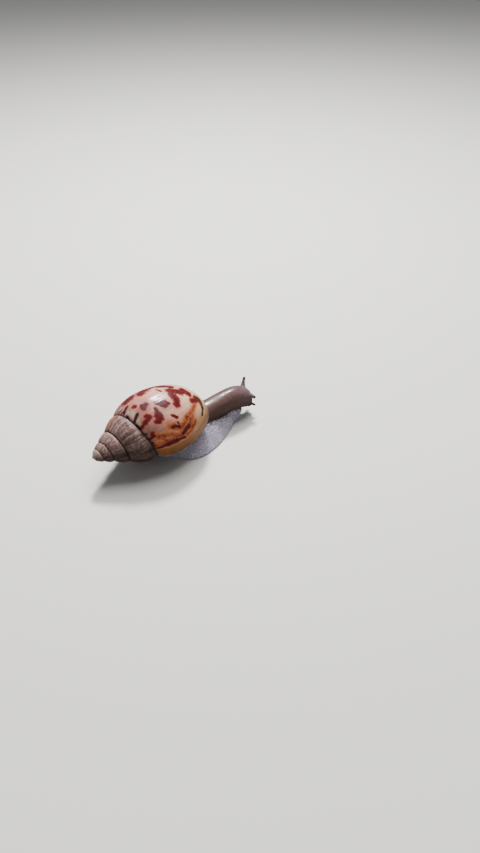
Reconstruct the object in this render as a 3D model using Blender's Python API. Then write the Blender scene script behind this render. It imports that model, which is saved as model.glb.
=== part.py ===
"""A young giant African land snail, crawling: life size, +X ahead, +Y its left, +Z up, sole on z = 0.

The shell is grown the way a snail grows it. One profile, from the suture above to the columella
below, is set down row by row round the coiling axis while it swells by a steady rate, and each row
starts on the profile that stands one turn before it. The body is a foot with a flat sole, a neck
and a head, cut where a person would name its parts.
"""

import math

import bmesh
import bpy
from mathutils import Matrix, Vector

MM = 0.001
GAP = 0.3 * MM  # clear space between neighbouring parts

MODEL_MIDDLE = Vector((-0.69, -0.89, 0)) * MM  # of the box round the numbers below: the origin

# Shell, in the coiling axis' own frame: heights are measured along the axis from the growth centre
LIP_RADIUS = 12.05 * MM  # widest point of the last profile
LIP_WIDEST_AT = 30.5 * MM
LIP_BASE_AT = 42.8 * MM  # where the profile meets the axis
BASE_DIP = 2.2 * MM  # how far the curve reaches below that place on its way in
APEX_AT = 1.9 * MM
GROWTH = 1.563  # swelling in one turn of the spire
LIP_GROWTH = {"radius": 1.10, "widest": 1.845, "base": 1.17}  # the same, as the lip is reached
EASING_TURNS = 1.5  # turns over which the growth changes from the one to the other
TURNS = 5.75
LIP_AT = -0.043  # turn at which the lip stands: the growth above is told as if it went on to 0
LIP_LEAN = (-0.11, 1.6)  # turns that lip and growth lines hang back at the base, and how it sets in
STEPS = 32  # rows in one turn
SUTURE_SET = 0.05  # how far below the widest point the next whorl joins on, along the lower curve
SUTURE_SET_LIP = 0.19
SHOULDER = (0.348, math.radians(35.8))  # reach and angle of the profile as it leaves the suture
WAIST = (0.178, 0.305)  # reach of the curve above and below the widest point
BASE_REACH = 0.82
FIRST_SWELL_TURNS = 0.9  # the first whorl winds out of the apex itself within these
UPPER_CUTS, WALL_CUTS, BASE_CUTS = 6, 1, 8  # faces across the profile's three stretches
MERGE = 0.002 * MM

# How the shell is carried
SHELL_CENTRE = Vector((-2.4, 0.4, 13.0)) * MM  # on the axis, level with the lip's widest point
SHELL_PITCH = math.radians(4.3)  # the apex hangs lower
SHELL_YAW = math.radians(6.5)  # and swings to the right
LIP_ANGLE = math.radians(58)  # of the lip, below the horizontal on the right

# Foot, from the tail's tip forwards: x, middle line, half width, height at the middle, lift
FOOT_STATIONS = (
    (-19.6, 2.3, 0.7, 0.7, 0.0),
    (-18.6, 2.2, 1.6, 1.3, 0.0),
    (-16.0, 1.9, 2.9, 2.1, 0.0),
    (-12.0, 1.8, 4.2, 3.5, 0.0),
    (-7.5, 1.1, 5.9, 5.5, 0.0),
    (-2.0, -0.7, 9.0, 7.6, 0.0),
    (3.0, -1.2, 9.7, 8.2, 0.0),
    (8.5, -0.9, 8.7, 8.0, 0.0),
    (12.5, -0.2, 7.5, 7.8, 0.0),
    (16.5, 0.5, 5.8, 7.4, 0.0),
    (20.0, 0.9, 3.7, 6.2, 0.1),
    (23.0, 1.0, 2.3, 4.6, 1.0),
    (25.0, 1.0, 0.9, 3.2, 1.9),
)
FOOT_RISE = 1.55  # how the flank climbs: 1 is straight, 2 is domed
FOOT_MARGIN = 0.45 * MM  # rounding of the sole's edge
FOOT_CUTS = (-6.0 * MM, 6.5 * MM)  # where the tail and the front of the foot part from its middle
FOOT_RING = 26
FOOT_STEP = 1.3 * MM

# Neck and head: x, y, z of the middle line, half width, half height
NECK_STATIONS = (
    (-4.0, 0.6, 7.6, 4.6, 4.0),
    (4.0, 0.6, 7.2, 4.5, 4.1),
    (11.6, 0.9, 7.2, 4.0, 4.0),
    (17.6, 0.9, 8.3, 3.8, 3.9),
    (21.6, 0.9, 8.5, 3.75, 4.1),
    (24.2, 0.8, 7.8, 3.7, 4.0),
    (25.9, 0.7, 6.5, 3.35, 3.5),
    (27.0, 0.6, 5.4, 2.75, 2.7),
    (27.8, 0.55, 4.7, 1.95, 1.9),
    (28.2, 0.55, 4.3, 1.2, 1.1),
)
NECK_CUT = 21.8 * MM  # head ahead of it, neck behind
NECK_RING = 20
NECK_STEP = 1.2 * MM

# Feelers, at the root, two bends and the tip: x, y, z and radius
UPPER_FEELERS = {
    "left": ((26.4, 2.2, 9.0, 1.25), (26.9, 2.8, 10.2, 0.75), (27.5, 3.4, 11.4, 0.5),
             (28.1, 3.8, 12.3, 0.48)),
    "right": ((25.4, -0.1, 8.4, 1.7), (26.7, -0.9, 8.6, 1.2), (27.6, -1.6, 8.4, 0.8),
              (28.4, -2.2, 7.85, 0.52)),
}
LOWER_FEELERS = {
    "left": ((27.2, 2.2, 4.9, 0.65), (28.0, 2.6, 4.7, 0.5), (28.6, 2.9, 4.4, 0.42),
             (29.0, 3.1, 4.1, 0.38)),
    "right": ((27.2, -0.9, 4.9, 0.65), (27.9, -1.3, 4.7, 0.5), (28.4, -1.7, 4.4, 0.42),
              (28.8, -1.9, 4.1, 0.38)),
}
EYE_RADIUS = 0.55 * MM
MOUTH = {"centre": (27.8, 0.6, 3.4), "radii": (1.15, 1.35, 0.95)}  # the lips
FEELER_RING = 12
FEELER_STEPS = 7
TIP_DOME = (math.radians(35), math.radians(65))  # rings of a feeler's rounded end
UNDER_EYE = 0.19  # share of an upper feeler's length that is left to the eye

# Mantle collar: the soft rim that lines the aperture inside the lip
COLLAR_RADIUS = 1.0 * MM
COLLAR_INSET = 1.7 * MM  # inwards from the lip
COLLAR_DROP = math.radians(4)  # outwards of the aperture, round the axis

COLOURS = {
    "shell": ((0.55, 0.30, 0.18), 0.3),
    "flesh": ((0.26, 0.22, 0.23), 0.45),
    "neck": ((0.24, 0.15, 0.13), 0.4),
    "mantle": ((0.33, 0.25, 0.2), 0.4),
    "eye": ((0.01, 0.01, 0.01), 0.1),
}


def clearScene():
    for thing in list(bpy.data.objects):
        bpy.data.objects.remove(thing)


def material(name):
    """The Principled material of one kind of tissue, made once."""
    if name in bpy.data.materials:
        return bpy.data.materials[name]
    made = bpy.data.materials.new(name)
    made.use_nodes = True
    shader = made.node_tree.nodes["Principled BSDF"]
    colour, roughness = COLOURS[name]
    shader.inputs["Base Color"].default_value = (*colour, 1.0)
    shader.inputs["Roughness"].default_value = roughness
    shader.inputs["Metallic"].default_value = 0.0
    return made


def place(name, bm, tissue, cutter=False):
    """Turns a bmesh into a smooth-shaded object, or into a hidden cutter."""
    bmesh.ops.recalc_face_normals(bm, faces=bm.faces)
    mesh = bpy.data.meshes.new(name)
    bm.to_mesh(mesh)
    bm.free()
    mesh.shade_smooth()
    mesh.set_sharp_from_angle(angle=math.radians(50))
    mesh.materials.append(material(tissue))
    made = bpy.data.objects.new(name, mesh)
    made.location = -MODEL_MIDDLE
    bpy.context.scene.collection.objects.link(made)
    if cutter:
        made.hide_render = True
        made.display_type = "WIRE"
    return made


def cut(piece, *cutters):
    for cutter in cutters:
        boolean = piece.modifiers.new("cut by " + cutter.name, "BOOLEAN")
        boolean.operation = "DIFFERENCE"
        boolean.solver = "EXACT"
        boolean.object = cutter


def bezier(points, t):
    """The point at t on the cubic curve through four control points."""
    a, b, c, d = points
    s = 1 - t
    return a * s**3 + b * 3 * s * s * t + c * 3 * s * t * t + d * t**3


def smooth(stations, x):
    """Catmull-Rom values at x from rows whose first number is their place along X."""
    last = len(stations) - 1
    k = max(i for i in range(last) if i == 0 or stations[i][0] <= x)
    near = [Vector(stations[min(max(k + j, 0), last)]) for j in (-1, 0, 1, 2)]
    span = near[2][0] - near[1][0]
    t = min(max((x - near[1][0]) / span, 0), 1)
    slopes = []
    for before, after in ((near[0], near[2]), (near[1], near[3])):
        slopes.append((after - before) * (span / (after[0] - before[0])))
    hermite = (2 * t**3 - 3 * t**2 + 1, t**3 - 2 * t**2 + t, 3 * t**2 - 2 * t**3, t**3 - t**2)
    parts = (near[1], slopes[0], near[2], slopes[1])
    return sum((part * weight for part, weight in zip(parts, hermite)), Vector([0] * len(near[0])))


# ---- shell


def size_at(turn, lip_growth):
    """Size against the lip's at a turn before it (turn is 0 at the lip, -1 a turn before)."""
    steady, late = math.log(GROWTH), math.log(lip_growth)
    eased = min(max((turn + EASING_TURNS) / EASING_TURNS, 0), 1)
    return math.exp(steady * turn + (late - steady) * EASING_TURNS * (eased**2 - 1) / 2)


def lower_curve(turn):
    """Control points from the widest point of a profile to its base on the axis."""
    radius = LIP_RADIUS * size_at(turn, LIP_GROWTH["radius"])
    widest = Vector((radius, LIP_WIDEST_AT * size_at(turn, LIP_GROWTH["widest"])))
    swell = size_at(turn, LIP_GROWTH["base"])
    base = Vector((0, LIP_BASE_AT * swell))
    drop = Vector((0, WAIST[1] * (base.y - widest.y)))
    return widest, widest + drop, base + Vector((BASE_REACH * radius, BASE_DIP * swell)), base


def suture_set(turn):
    late = min(max((turn + 1.6) / 0.6, 0), 1)
    return SUTURE_SET + (SUTURE_SET_LIP - SUTURE_SET) * late**2


def swell(turn):
    """Share of its full size at a turn: the first whorl winds out of the apex itself."""
    return math.sin(math.pi / 2 * min(max((turn + TURNS) / FIRST_SWELL_TURNS, 0), 1))


def lean(k):
    share = max((k - UPPER_CUTS - WALL_CUTS) / BASE_CUTS, 0)
    return LIP_LEAN[0] * share**LIP_LEAN[1]


def profile_point(turn, k):
    """Point k of the profile at a turn, from the suture above to the base, in its half plane."""
    tip = Vector((0, APEX_AT))
    below = lower_curve(turn)
    joint = suture_set(turn)
    if k < UPPER_CUTS:
        above = bezier(lower_curve(turn - 1), suture_set(turn - 1))
        start = tip + (above - tip) * swell(turn - 1)
        reach = (below[0] - start).length
        leave = Vector((math.cos(SHOULDER[1]), math.sin(SHOULDER[1]))) * SHOULDER[0] * reach
        rise = Vector((0, WAIST[0] * reach))
        point = bezier((start, start + leave, below[0] - rise, below[0]), k / UPPER_CUTS)
    elif k < UPPER_CUTS + WALL_CUTS:
        point = bezier(below, joint * (k - UPPER_CUTS) / WALL_CUTS)
    else:
        point = bezier(below, joint + (1 - joint) * (k - UPPER_CUTS - WALL_CUTS) / BASE_CUTS)
    return tip + (point - tip) * swell(turn)


def shell_matrix():
    """From the coiling frame (X right, Y down, Z along the axis to the base) to the world."""
    along = Vector((math.cos(SHELL_PITCH) * math.cos(SHELL_YAW),
                    math.cos(SHELL_PITCH) * math.sin(SHELL_YAW),
                    math.sin(SHELL_PITCH)))
    right = along.cross(Vector((0, 0, 1))).normalized()
    down = along.cross(right)
    turned = Matrix((right, down, along)).transposed().to_4x4()
    return Matrix.Translation(SHELL_CENTRE - along * LIP_WIDEST_AT) @ turned


def coil_point(turn, point, swing=0.0):
    """World place of a profile point at a turn, swung on round the axis by an angle."""
    angle = LIP_ANGLE + math.tau * turn + swing
    local = Vector((point.x * math.cos(angle), point.x * math.sin(angle), point.y))
    return shell_matrix() @ local


def close_aperture(bm, at, rows, across):
    """Faces from the lip to the wall that stands one turn before it."""
    before, outer = rows - STEPS, UPPER_CUTS + WALL_CUTS
    bm.faces.new([at[rows, k] for k in range(outer + 1)])
    for k in range(outer, across - 1):
        bm.faces.new((at[rows, k], at[rows, k + 1], at[before, k + 1], at[before, k]))
    axis = [at[step, across] for step in range(before, rows + 1)]
    bm.faces.new([at[before, across - 1]] + axis + [at[rows, across - 1]])


def shell(name, tissue, swollen=0.0):
    """The closed shell, from a flat grid wound round the axis. Swollen, it is a cutter."""
    rows = round(TURNS * STEPS)
    across = UPPER_CUTS + WALL_CUTS + BASE_CUTS
    bm = bmesh.new()
    bmesh.ops.create_grid(bm, x_segments=rows, y_segments=across, size=0.5)
    at = {}
    for vert in bm.verts:
        at[round((vert.co.x + 0.5) * rows), round((vert.co.y + 0.5) * across)] = vert
    buried = []
    for step in range(rows - STEPS):
        for k in range(UPPER_CUTS + WALL_CUTS, across):
            corners = (at[step, k], at[step + 1, k], at[step + 1, k + 1], at[step, k + 1])
            buried.append(bm.faces.get(corners))
    for (step, k), vert in at.items():
        turn = step / STEPS - TURNS + LIP_AT + lean(k)
        vert.co = coil_point(turn, profile_point(turn, k))
    close_aperture(bm, at, rows, across)
    bmesh.ops.delete(bm, geom=buried, context="FACES")
    bmesh.ops.remove_doubles(bm, verts=bm.verts, dist=MERGE)
    bmesh.ops.dissolve_degenerate(bm, edges=bm.edges, dist=MERGE)
    bmesh.ops.recalc_face_normals(bm, faces=bm.faces)
    if swollen:
        bm.normal_update()
        moves = {vert: vert.normal * swollen for vert in bm.verts}
        for vert, move in moves.items():
            vert.co += move
    return place(name, bm, tissue, cutter=swollen > 0)


# ---- flesh


def loft(bm, rings):
    """A closed body through rings of points, with flat ends."""
    loops = [[bm.verts.new(point) for point in ring] for ring in rings]
    for near, far in zip(loops, loops[1:]):
        for k in range(len(near)):
            after = (k + 1) % len(near)
            bm.faces.new((near[k], near[after], far[after], far[k]))
    bm.faces.new(loops[0])
    bm.faces.new(loops[-1])


def steps_between(start, end, step):
    count = max(round((end - start) / step), 1)
    return [start + (end - start) * k / count for k in range(count + 1)]


def foot_ring(x):
    """Cross-section of the foot at x: a flat sole, a rounded margin and a flank to the back."""
    _, middle, half, height, lift = (value * MM for value in smooth(FOOT_STATIONS, x / MM))
    lift = max(lift, 0)
    margin = min(FOOT_MARGIN, half * 0.4)
    ring = []
    for k in range(FOOT_RING):
        y = -math.cos(math.pi * k / (FOOT_RING - 1))
        rise = (height - margin) * (1 - abs(y) ** FOOT_RISE)
        ring.append(Vector((x, middle + y * half, lift + margin + rise)))
    for side in (1, -1):
        ring.append(Vector((x, middle + side * (half - margin * 0.6), lift)))
    return ring


def foot(name, start, end):
    bm = bmesh.new()
    loft(bm, [foot_ring(x) for x in steps_between(start, end, FOOT_STEP)])
    return place(name, bm, "flesh")


def neck_ring(x, swollen=0.0):
    """Cross-section of the neck or head, square to its middle line."""
    _, y, z, half, tall = (value * MM for value in smooth(NECK_STATIONS, x / MM))
    inside = min(max(x / MM, NECK_STATIONS[0][0] + 0.1), NECK_STATIONS[-1][0] - 0.1)
    ahead, behind = smooth(NECK_STATIONS, inside + 0.1), smooth(NECK_STATIONS, inside - 0.1)
    along = Vector((ahead - behind)[:3]).normalized()
    side = Vector((0, 0, 1)).cross(along).normalized()
    up = along.cross(side)
    ring = []
    for k in range(NECK_RING):
        angle = math.tau * k / NECK_RING
        out = side * math.cos(angle) * (half + swollen) + up * math.sin(angle) * (tall + swollen)
        ring.append(Vector((x, y, z)) + out)
    return ring


def neck(name, start, end, swollen=0.0):
    bm = bmesh.new()
    rings = [neck_ring(x, swollen) for x in steps_between(start, end, NECK_STEP)]
    loft(bm, rings)
    return place(name, bm, "neck", cutter=swollen > 0)


def tube(name, path, radii, tissue, cutter=False, closed_tip=True):
    """A round, tapering body along a list of points, with a domed far end."""
    centres = [Vector(point) for point in path]
    rings = []
    for k, centre in enumerate(centres):
        before, after = centres[max(k - 1, 0)], centres[min(k + 1, len(centres) - 1)]
        along = (after - before).normalized()
        side = along.cross(Vector((0.2, 0.1, 1))).normalized()
        up = side.cross(along)
        ring = []
        for n in range(FEELER_RING):
            angle = math.tau * n / FEELER_RING
            ring.append(centre + (side * math.cos(angle) + up * math.sin(angle)) * radii[k])
        rings.append(ring)
    last = rings[-1]
    for bend in TIP_DOME if closed_tip else ():
        onward = centres[-1] + along * radii[-1] * math.sin(bend)
        rings.append([onward + (point - centres[-1]) * math.cos(bend) for point in last])
    bm = bmesh.new()
    loft(bm, rings)
    return place(name, bm, tissue, cutter)


def feeler(name, rows, cutter=False, swollen=0.0, cut_back=0.0):
    """A feeler on a cubic curve through its root, two bends and its tip."""
    controls = [Vector(row) * MM for row in rows]
    controls[0] -= (controls[1] - controls[0]).normalized() * swollen
    shares = [k / FEELER_STEPS * (1 - cut_back) for k in range(FEELER_STEPS + 1)]
    along = [bezier(controls, share) for share in shares]
    path = [point.to_3d() for point in along]
    widths = [point.w + swollen for point in along]
    return tube(name, path, widths, "neck", cutter, closed_tip=not cut_back)


def eye(name, tip):
    bm = bmesh.new()
    bmesh.ops.create_uvsphere(bm, u_segments=12, v_segments=8, radius=EYE_RADIUS)
    bmesh.ops.translate(bm, verts=bm.verts, vec=Vector(tip[:3]) * MM)
    return place(name, bm, "eye")


def mouth(name, swollen=0.0):
    bm = bmesh.new()
    bmesh.ops.create_uvsphere(bm, u_segments=14, v_segments=8, radius=1)
    scale = [radius * MM + swollen for radius in MOUTH["radii"]]
    bmesh.ops.scale(bm, verts=bm.verts, vec=scale)
    bmesh.ops.translate(bm, verts=bm.verts, vec=Vector(MOUTH["centre"]) * MM)
    return place(name, bm, "neck", cutter=swollen > 0)


def collar_path():
    """Along the lip, inside it."""
    across = UPPER_CUTS + WALL_CUTS + BASE_CUTS
    middle = (profile_point(LIP_AT, 0).y + profile_point(LIP_AT, across).y) / 2
    path = []
    for k in range(1, across - 1):
        point = profile_point(LIP_AT + lean(k), k)
        inwards = (Vector((0, middle)) - point).normalized() * COLLAR_INSET
        path.append(coil_point(LIP_AT + lean(k), point + inwards, swing=COLLAR_DROP))
    return path


def collar(name, swollen=0.0):
    path = collar_path()
    radii = [COLLAR_RADIUS + swollen] * len(path)
    return tube(name, path, radii, "mantle", cutter=swollen > 0)


clearScene()
shell("shell", "shell")
shellSpace = shell("shell_space", "shell", swollen=GAP)
collarPiece = collar("mantle_collar")
collarSpace = collar("collar_space", swollen=GAP)
cut(collarPiece, shellSpace)

neckEnd = NECK_STATIONS[-1][0] * MM
neckStart = NECK_STATIONS[0][0] * MM
neckPiece = neck("neck", neckStart, NECK_CUT - GAP / 2)
headPiece = neck("head", NECK_CUT + GAP / 2, neckEnd)
neckSpace = neck("neck_space", neckStart - GAP, neckEnd + GAP, swollen=GAP)
cut(neckPiece, shellSpace, collarSpace)

footStart, footEnd = FOOT_STATIONS[0][0] * MM, FOOT_STATIONS[-1][0] * MM
footPieces = [
    foot("tail", footStart, FOOT_CUTS[0] - GAP / 2),
    foot("foot_middle", FOOT_CUTS[0] + GAP / 2, FOOT_CUTS[1] - GAP / 2),
    foot("foot_front", FOOT_CUTS[1] + GAP / 2, footEnd),
]
for piece in footPieces:
    cut(piece, neckSpace, shellSpace, collarSpace)

mouth("mouth")
cut(headPiece, mouth("mouth_space", swollen=GAP))
for side, rows in UPPER_FEELERS.items():
    cut(headPiece, feeler("space_upper_" + side, rows, cutter=True, swollen=GAP))
    feeler("upper_feeler_" + side, rows, cut_back=UNDER_EYE)
    eye("eye_" + side, rows[-1])
for side, rows in LOWER_FEELERS.items():
    cut(headPiece, feeler("space_lower_" + side, rows, cutter=True, swollen=GAP))
    feeler("lower_feeler_" + side, rows)
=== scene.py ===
import math
import bmesh
import bpy
from mathutils import Matrix, Vector, noise


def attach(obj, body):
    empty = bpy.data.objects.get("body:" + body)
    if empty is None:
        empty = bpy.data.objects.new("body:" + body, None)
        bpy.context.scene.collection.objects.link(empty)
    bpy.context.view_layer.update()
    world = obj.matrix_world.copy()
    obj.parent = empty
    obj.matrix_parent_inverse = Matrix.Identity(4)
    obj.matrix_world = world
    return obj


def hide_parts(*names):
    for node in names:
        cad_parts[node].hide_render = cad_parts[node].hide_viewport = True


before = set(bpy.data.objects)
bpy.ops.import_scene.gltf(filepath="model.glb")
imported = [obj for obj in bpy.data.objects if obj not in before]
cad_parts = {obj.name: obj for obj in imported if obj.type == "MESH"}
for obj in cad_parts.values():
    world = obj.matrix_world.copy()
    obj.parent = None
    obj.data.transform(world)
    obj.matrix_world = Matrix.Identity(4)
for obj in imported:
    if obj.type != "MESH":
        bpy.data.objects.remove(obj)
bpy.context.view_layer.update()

# everything below is worked out in millimetres and put down in metres
mm = 0.001
origin = Vector((-0.69, -0.89, 0))  # middle of the animal, in the numbers below
noise.seed_set(3)  # else noise vectors, and with them the warts, would follow the clock


def hexColour(text):
    channels = [int(text[i:i + 2], 16) / 255 for i in (1, 3, 5)]
    return tuple(c / 12.92 if c <= 0.04045 else ((c + 0.055) / 1.055) ** 2.4 for c in channels) + (1.0,)


def mixed(a, b, share):
    return a + (b - a) * share


def ramp(value, low, high):
    t = min(max((value - low) / (high - low), 0), 1)
    return t * t * (3 - 2 * t)


def bezier(points, t):
    a, b, c, d = points
    s = 1 - t
    return a * s**3 + b * 3 * s * s * t + c * 3 * s * t * t + d * t**3


def smoothAt(stations, x):
    # Catmull-Rom through rows that start with their place along X
    last = len(stations) - 1
    k = max(i for i in range(last) if i == 0 or stations[i][0] <= x)
    near = [Vector(stations[min(max(k + j, 0), last)]) for j in (-1, 0, 1, 2)]
    span = near[2][0] - near[1][0]
    t = min(max((x - near[1][0]) / span, 0), 1)
    slopes = [(near[j + 2] - near[j]) * (span / (near[j + 2][0] - near[j][0])) for j in (0, 1)]
    weights = (2 * t**3 - 3 * t**2 + 1, t**3 - 2 * t**2 + t, 3 * t**2 - 2 * t**3, t**3 - t**2)
    return sum((p * w for p, w in zip((near[1], slopes[0], near[2], slopes[1]), weights)),
               Vector([0] * len(near[0])))


def newObject(name, bm, shading):
    # from millimetres to metres, round the middle of the animal
    bmesh.ops.translate(bm, verts=bm.verts, vec=-origin)
    bmesh.ops.scale(bm, verts=bm.verts, vec=(mm, mm, mm))
    mesh = bpy.data.meshes.new(name)
    bm.to_mesh(mesh)
    bm.free()
    mesh.shade_smooth()
    mesh.materials.append(shading)
    made = bpy.data.objects.new(name, mesh)
    bpy.context.scene.collection.objects.link(made)
    return made


def wrappedGrid(bm, along, around, placeAt):
    # a flat grid rolled up into a closed tube, whose ends are then filled
    old = set(bm.verts)
    sheet = bmesh.ops.create_grid(bm, x_segments=along, y_segments=around, size=0.5)["verts"]
    for vert in sheet:
        i, n = round((vert.co.x + 0.5) * along), round((vert.co.y + 0.5) * around)
        vert.co = placeAt(i, n % around)
    bmesh.ops.remove_doubles(bm, verts=sheet, dist=0.0005)
    rim = [edge for edge in bm.edges if edge.is_boundary and edge.verts[0] not in old]
    bmesh.ops.holes_fill(bm, edges=rim)
    bmesh.ops.recalc_face_normals(bm, faces=bm.faces)


def addNode(tree, kind, inputs=None, **settings):
    made = tree.nodes.new("ShaderNode" + kind)
    for key, value in settings.items():
        setattr(made, key, value)
    for key, value in (inputs or {}).items():
        if isinstance(value, bpy.types.Node):
            tree.links.new(value.outputs[2 if value.type in ("MIX", "ATTRIBUTE") else 0], made.inputs[key])
        elif isinstance(value, bpy.types.NodeSocket):
            tree.links.new(value, made.inputs[key])
        else:
            made.inputs[key].default_value = value
    return made


def newMaterial(name, **settings):
    made = bpy.data.materials.new(name)
    made.use_nodes = True
    tree = made.node_tree
    shader = tree.nodes["Principled BSDF"]
    for label, value in settings.items():
        shader.inputs[label.replace("_", " ")].default_value = value
    # object coordinates, a millimetre to the unit
    here = addNode(tree, "TexCoord").outputs["Object"]
    place = addNode(tree, "VectorMath", {0: here, "Scale": 1 / mm}, operation="SCALE")
    return made, tree, shader, place


shellShape = {
    # the last profile, in mm; places along the axis count from the growth centre
    "lipRadius": 12.05,
    "lipWidestAt": 30.5,
    "lipBaseAt": 42.8,
    "apexAt": 1.9,
    "growth": 1.563,            # in one turn of the spire
    "lipGrowth": {"radius": 1.10, "widest": 1.845, "base": 1.17},  # eased to this at the lip
    "easingTurns": 1.5,
    "turns": 5.75,
    "firstSwell": 0.9,          # turns in which the tip swells to its full size
    "lipAt": -0.043,
    # handles of the profile's curves, as shares: the shoulder's length and its angle in degrees,
    # the ones above and below the widest point, and how far out and down the last one reaches
    "shoulder": (0.348, 35.8),
    "waist": (0.178, 0.305),
    "baseReach": 0.82,
    "baseDip": 2.2,
    # share of the lower curve where the next whorl sets on, early and late, and when it changes
    "sutureSet": (0.05, 0.19),
    "sutureDrops": (-1.6, -1.0),
    "lean": (-0.11, 1.6),       # lip and growth lines hang back at the base
    # a point of the axis, and how the axis and the lip are turned, in degrees
    "centre": (-2.4, 0.4, 13.0),
    "pitch": 4.3,
    "yaw": 6.5,
    "lipAngle": 58,
}
shellMesh = {
    "bodyTurns": 1.45,          # with close rows, where the ribs show
    "bodyRows": 400,            # in each of those turns
    "spireRows": 130,
    "across": (26, 8, 52),      # faces above the widest point, on to the next suture, and to the base
    "tuck": 12,                 # of those that reach in under the next whorl
    "tuckEnd": 4,               # of those that close the groove again
    "seam": 0.11,               # depth of the suture at the lip
    "seamFaces": (2.4, 1.6),    # its width below the line and above it
    "quietFaces": (4, 16),      # where the ribs fade, at the suture and at the base
    "sink": 0.08,               # the ribs stand on a surface this far inside the solid
    "rim": 0.42,                # thickness of the lip
    "rimAngles": (35, 70, 110, 145),
    "rimTurns": 0.0035,         # how far its rounding stands out
    "inside": 0.3,              # turns that the inner wall goes back
    "insideRows": 20,
    "insideDepth": 2.2,         # of the inner wall further back, in lip thicknesses
    "hiddenFaces": 5,           # of the inner wall, behind the whorl above
    "merge": 0.004,
}


def sizeAt(turn, lipGrowth):
    # size against the lip's, with turn 0 at the lip and -1 a turn before it
    ease = shellShape["easingTurns"]
    steady, late = math.log(shellShape["growth"]), math.log(lipGrowth)
    eased = min(max((turn + ease) / ease, 0), 1)
    return math.exp(steady * turn + (late - steady) * ease * (eased**2 - 1) / 2)


def lowerCurve(turn):
    growth = shellShape["lipGrowth"]
    radius = shellShape["lipRadius"] * sizeAt(turn, growth["radius"])
    widest = Vector((radius, shellShape["lipWidestAt"] * sizeAt(turn, growth["widest"])))
    swollen = sizeAt(turn, growth["base"])
    base = Vector((0, shellShape["lipBaseAt"] * swollen))
    drop = Vector((0, shellShape["waist"][1] * (base.y - widest.y)))
    reach = Vector((shellShape["baseReach"] * radius, shellShape["baseDip"] * swollen))
    return widest, widest + drop, base + reach, base


def sutureSet(turn):
    start, end = shellShape["sutureDrops"]
    return mixed(*shellShape["sutureSet"], min(max((turn - start) / (end - start), 0), 1) ** 2)


def firstSwell(turn):
    share = min(max((turn + shellShape["turns"]) / shellShape["firstSwell"], 0), 1)
    return math.sin(math.pi / 2 * share)


def leanAt(k):
    upper, wall, base = shellMesh["across"]
    most, power = shellShape["lean"]
    return most * max((k - upper - wall) / base, 0) ** power


def profilePoint(turn, k):
    # point k of the profile, from the suture down to the base, as (radius, height)
    upper, wall, base = shellMesh["across"]
    tip = Vector((0, shellShape["apexAt"]))
    below = lowerCurve(turn)
    joint = sutureSet(turn)
    if k < upper:
        above = bezier(lowerCurve(turn - 1), sutureSet(turn - 1))
        start = tip + (above - tip) * firstSwell(turn - 1)
        reach = (below[0] - start).length
        length, angle = shellShape["shoulder"]
        angle = math.radians(angle)
        leave = Vector((math.cos(angle), math.sin(angle))) * length * reach
        rise = Vector((0, shellShape["waist"][0] * reach))
        point = bezier((start, start + leave, below[0] - rise, below[0]), k / upper)
    elif k < upper + wall:
        point = bezier(below, joint * (k - upper) / wall)
    else:
        point = bezier(below, joint + (1 - joint) * (k - upper - wall) / base)
    return tip + (point - tip) * firstSwell(turn)


def shellMatrix():
    pitch, yaw = math.radians(shellShape["pitch"]), math.radians(shellShape["yaw"])
    along = Vector((math.cos(pitch) * math.cos(yaw), math.cos(pitch) * math.sin(yaw), math.sin(pitch)))
    right = along.cross(Vector((0, 0, 1))).normalized()
    down = along.cross(right)
    turned = Matrix((right, down, along)).transposed().to_4x4()
    start = Vector(shellShape["centre"]) - along * shellShape["lipWidestAt"]
    return Matrix.Translation(start) @ turned


coilFrame = shellMatrix()


def coilPoint(turn, point, swing=0.0):
    angle = math.radians(shellShape["lipAngle"] + swing) + math.tau * turn
    return coilFrame @ Vector((point.x * math.cos(angle), point.x * math.sin(angle), point.y))


def insetPoint(turn, k, depth):
    # moved into the whorl, square to the profile, and in behind the whorl above at the suture
    last = sum(shellMesh["across"])
    here = profilePoint(turn, k)
    along = (profilePoint(turn, min(k + 1, last)) - profilePoint(turn, max(k - 1, 0))).normalized()
    behind = max(1 - k / shellMesh["hiddenFaces"], 0)
    return here + Vector((-along.y - behind, along.x)) * depth


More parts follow.
